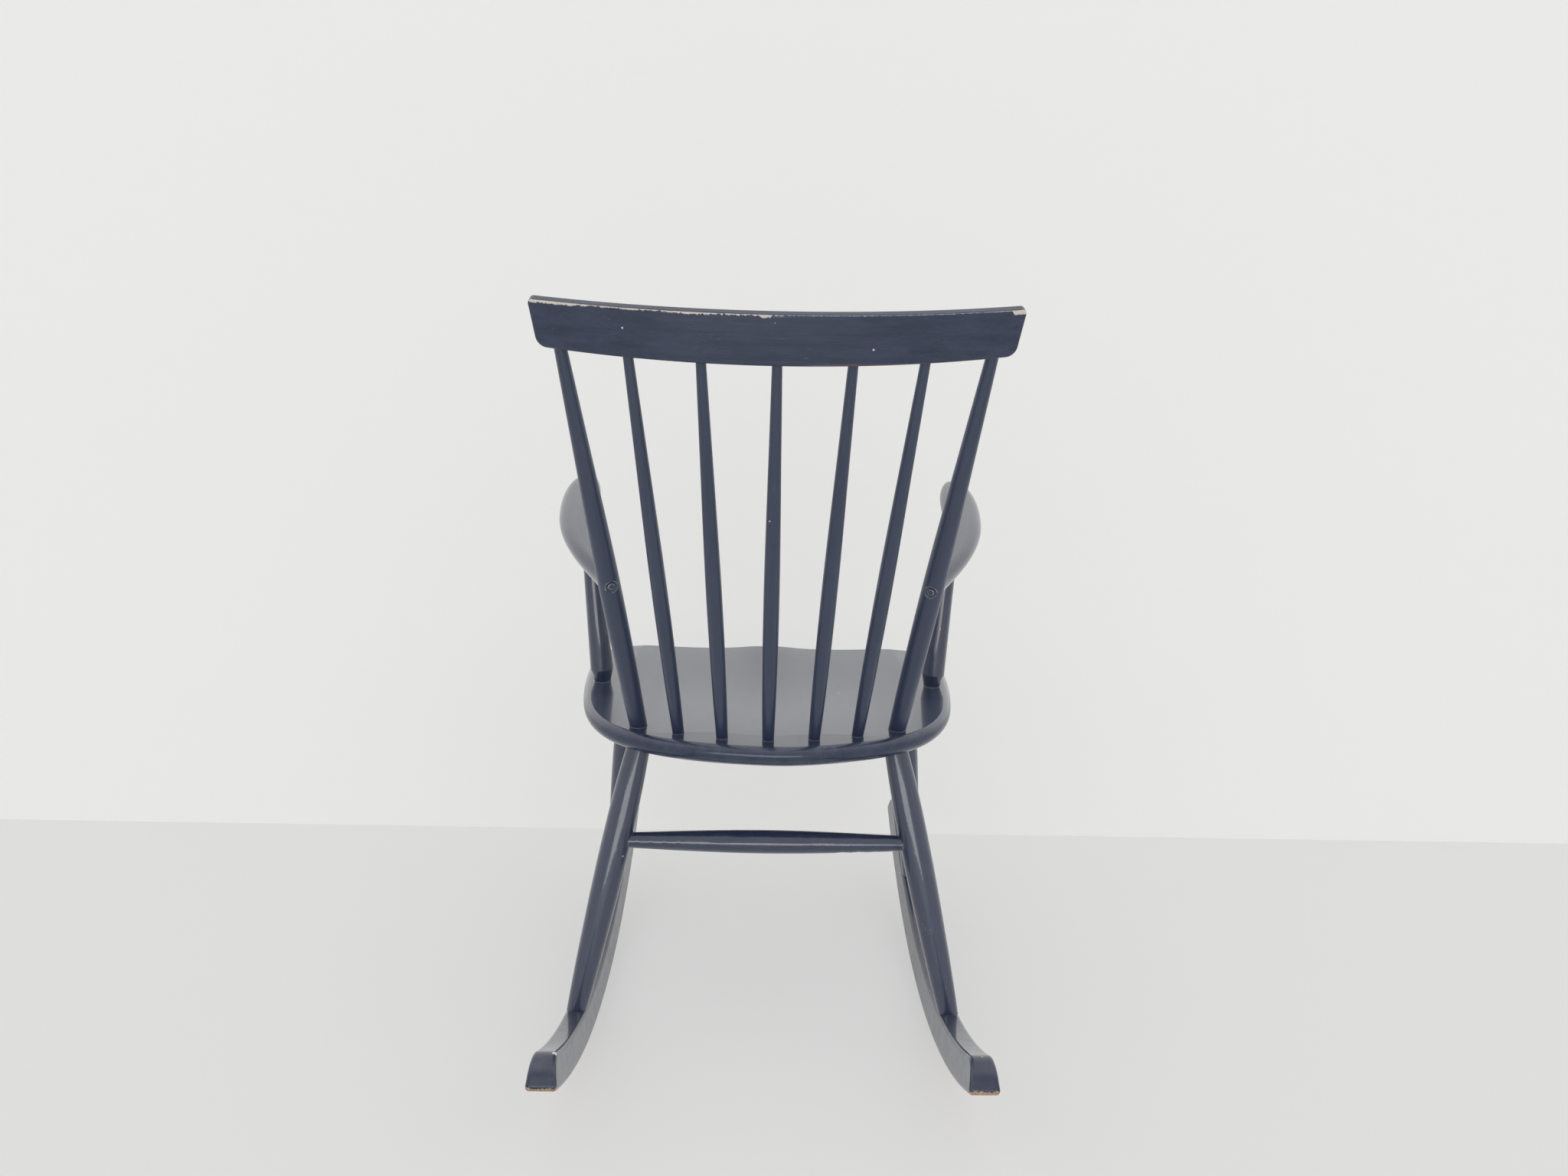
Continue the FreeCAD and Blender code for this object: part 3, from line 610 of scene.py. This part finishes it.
class ChairFinishBack(bpy.types.Operator):
    """Finishes the spindles and posts of the back"""
    bl_idname = "chair.finish_back"
    bl_label = "Spindles and posts"

    def execute(self, context):
        spindles = ["back_spindle_middle"] + pair("back_spindle_inner") + pair("back_spindle_outer")
        material = lacquer_material("spindle lacquer", GRAIN_OF_SPINDLES, coat=0.15, gloss=0.6, wear=0.6,
                                    reach=0.002, fade=0.15)
        finish_nodes(spindles, material)
        # The posts' special mark is the painted highlight ring round each screw.
        material = lacquer_material("post lacquer", GRAIN_OF_POSTS, coat=0.15, gloss=0.6, wear=0.4,
                                    reach=0.002, fade=0.15, special=post_screw_ring_highlight)
        finish_nodes(pair("back_post"), material)
        return {"FINISHED"}


class ChairFinishArms(bpy.types.Operator):
    """Finishes the arms, their supports and their screws"""
    bl_idname = "chair.finish_arms"
    bl_label = "Arms, supports and screws"

    def execute(self, context):
        finish_nodes(pair("armrest"), lacquer_material("arm lacquer", GRAIN_OF_ARMS))
        supports = lacquer_material("arm support lacquer", GRAIN_OF_ARM_SUPPORTS, coat=1.0, gloss=0.6,
                                    reach=0.003, scuffs=1.0)
        finish_nodes(pair("arm_support"), supports)
        finish_nodes(pair("arm_screw"), screw_material("painted screw"))
        return {"FINISHED"}


class ChairFinishLegs(bpy.types.Operator):
    """Finishes the legs and the stretchers between them"""
    bl_idname = "chair.finish_legs"
    bl_label = "Legs and stretchers"

    def execute(self, context):
        rear = lacquer_material("rear leg lacquer", GRAIN_OF_REAR_LEGS, coat=0.85, gloss=0.6, wear=0.6,
                                reach=0.002, scuffs=1.0, lines=0.15)
        finish_nodes(pair("rear_leg"), rear)
        front = lacquer_material("front leg lacquer", GRAIN_OF_FRONT_LEGS, coat=0.85, gloss=0.6, wear=0.6,
                                 reach=0.002, scuffs=0.8, lines=0.15)
        finish_nodes(pair("front_leg"), front)
        stretchers = lacquer_material("stretcher lacquer", GRAIN_OF_STRETCHERS, wear=0.8, reach=0.002)
        finish_nodes(["rear_stretcher", "front_stretcher"], stretchers)
        return {"FINISHED"}


class ChairFinishRockers(bpy.types.Operator):
    """Finishes the rockers, bare along their soles"""
    bl_idname = "chair.finish_rockers"
    bl_label = "Rockers"

    def execute(self, context):
        material = lacquer_material("rocker lacquer", GRAIN_OF_ROCKERS, coat=1.0, gloss=0.6, scuffs=0.8,
                                    dust=0.9, lines=0.0, fade=-0.15, thin_coat=thin_on_ends,
                                    special=rocker_wear)
        finish_nodes(pair("rocker"), material)
        return {"FINISHED"}


# Stage

def flat_sheet(name, points):
    mesh = bpy.data.meshes.new(name)
    mesh.from_pydata(points, [], [tuple(range(len(points)))])
    sheet = bpy.data.objects.new(name, mesh)
    bpy.context.scene.collection.objects.link(sheet)
    return sheet


def seen_directly(tree):
    """One for the rays that show the stage itself, in the picture or in a gloss."""
    rays = make(tree, "ShaderNodeLightPath", {}).outputs
    either = calc(tree, "MAXIMUM", rays["Is Camera Ray"], rays["Is Glossy Ray"])
    return calc(tree, "MAXIMUM", either, rays["Is Transmission Ray"])


def stage_material(name, color, evenness, open_behind):
    """A pale matt surface. evenness frees its tone from shadow, open_behind hides it from its back."""
    material = bpy.data.materials.new(name)
    material.use_nodes = True
    tree = material.node_tree
    tree.nodes.remove(tree.nodes["Principled BSDF"])
    surface = make(tree, "ShaderNodeBsdfDiffuse", {"Color": (*color, 1)}).outputs[0]
    flat = make(tree, "ShaderNodeEmission", {"Color": (*color, 1)}).outputs[0]
    share = calc(tree, "MULTIPLY", seen_directly(tree), evenness)
    surface = make(tree, "ShaderNodeMixShader", {0: share, 1: surface, 2: flat}).outputs[0]
    if open_behind:
        behind = make(tree, "ShaderNodeNewGeometry", {}).outputs["Backfacing"]
        clear = make(tree, "ShaderNodeBsdfTransparent", {}).outputs[0]
        surface = make(tree, "ShaderNodeMixShader", {0: behind, 1: surface, 2: clear}).outputs[0]
    tree.links.new(surface, tree.nodes["Material Output"].inputs["Surface"])
    return material


def soft_lamp(name, room):
    """A lamp that shows in the gloss alone."""
    lamp = bpy.data.lights.new(name, "AREA")
    lamp.shape = "RECTANGLE"
    lamp.size = room.lamp_width
    lamp.size_y = room.lamp_height
    lamp.energy = room.lamp_power
    holder = bpy.data.objects.new(name, lamp)
    holder.location = room.lamp_place
    holder.rotation_mode = "QUATERNION"
    aim = Vector(room.lamp_target) - Vector(room.lamp_place)
    holder.rotation_quaternion = aim.to_track_quat("-Z", "Y")
    holder.visible_camera = False
    holder.visible_diffuse = False
    bpy.context.scene.collection.objects.link(holder)


class ChairMakeStage(bpy.types.Operator):
    """Makes the floor, the wall, the room light and the lamp"""
    bl_idname = "chair.make_stage"
    bl_label = "Stage"

    def execute(self, context):
        room = context.scene.chair_stage
        reach = room.reach
        square = [(-reach, -reach, 0), (reach, -reach, 0), (reach, reach, 0), (-reach, reach, 0)]
        floor = flat_sheet("studio_floor", square)
        paint = stage_material("floor paint", room.floor_color, room.floor_evenness, False)
        floor.data.materials.append(paint)
        near = [(x, -room.wall_place + x * room.wall_turn) for x in (reach, -reach)]
        low = [(x, y, 0) for x, y in near]
        high = [(x, y, room.wall_height) for x, y in reversed(near)]
        wall = flat_sheet("studio_wall", low + high)
        paint = stage_material("wall paint", room.wall_color, room.wall_evenness, True)
        wall.data.materials.append(paint)
        world = bpy.data.worlds.new("room light")
        context.scene.world = world
        world.use_nodes = True
        tree = world.node_tree
        light = tree.nodes["Background"]
        light.inputs["Color"].default_value = (1, 1, 1, 1)
        light.inputs["Strength"].default_value = room.room_light
        shown = make(tree, "ShaderNodeBackground", {"Color": (*room.wall_color, 1)})
        sockets = {0: seen_directly(tree), 1: light.outputs[0], 2: shown.outputs[0]}
        mixed = make(tree, "ShaderNodeMixShader", sockets)
        tree.links.new(mixed.outputs[0], tree.nodes["World Output"].inputs["Surface"])
        soft_lamp("low_lamp", room)
        context.scene.view_settings.view_transform = "Standard"
        return {"FINISHED"}


class ChairMakeCamera(bpy.types.Operator):
    """Sets the camera at the photograph's place behind the chair"""
    bl_idname = "chair.make_camera"
    bl_label = "Camera"

    def execute(self, context):
        stand = context.scene.chair_camera
        data = bpy.data.cameras.new("camera")
        data.sensor_width = 36.0
        data.lens = stand.lens
        data.clip_end = 200.0
        camera = bpy.data.objects.new("camera", data)
        context.scene.collection.objects.link(camera)
        level = Matrix.Rotation(-stand.turn, 3, "Z") @ Vector((0, -1, 0))
        side = level.cross(Vector((0, 0, 1)))
        ahead = Matrix.Rotation(-stand.drop, 3, side) @ level
        across = Matrix.Rotation(-stand.roll, 3, ahead) @ side
        head = across.cross(ahead)
        camera.matrix_world = Matrix((across, head, -ahead)).transposed().to_4x4()
        camera.location = stand.place
        context.scene.camera = camera
        return {"FINISHED"}


OPERATORS = (
    ChairMakeCamera,
    ChairFinishSeat,
    ChairFinishCrest,
    ChairFinishBack,
    ChairFinishArms,
    ChairFinishLegs,
    ChairFinishRockers,
    ChairMakeStage,
)

SETTINGS = {
    "chair_lacquer": ChairLacquerSettings,
    "chair_stage": ChairStageSettings,
    "chair_camera": ChairCameraSettings,
}


class ChairPanel(bpy.types.Panel):
    """Lists the steps and settings of the rocking chair"""
    bl_idname = "CHAIR_PT_steps"
    bl_label = "Rocking chair"
    bl_space_type = "VIEW_3D"
    bl_region_type = "UI"
    bl_category = "Rocking chair"

    def draw(self, context):
        for step in OPERATORS:
            self.layout.operator(step.bl_idname)
        for group in SETTINGS:
            settings = getattr(context.scene, group)
            column = self.layout.column()
            for name in settings.__annotations__:
                column.prop(settings, name)


def register():
    for group in (*SETTINGS.values(), *OPERATORS, ChairPanel):
        bpy.utils.register_class(group)
    for name, group in SETTINGS.items():
        setattr(bpy.types.Scene, name, bpy.props.PointerProperty(type=group))


def unregister():
    for name in SETTINGS:
        delattr(bpy.types.Scene, name)
    for group in (ChairPanel, *reversed(OPERATORS), *SETTINGS.values()):
        bpy.utils.unregister_class(group)


def main():
    register()
    for step in OPERATORS:
        category, name = step.bl_idname.split(".")
        getattr(getattr(bpy.ops, category), name)()


if __name__ == "__main__":
    main()
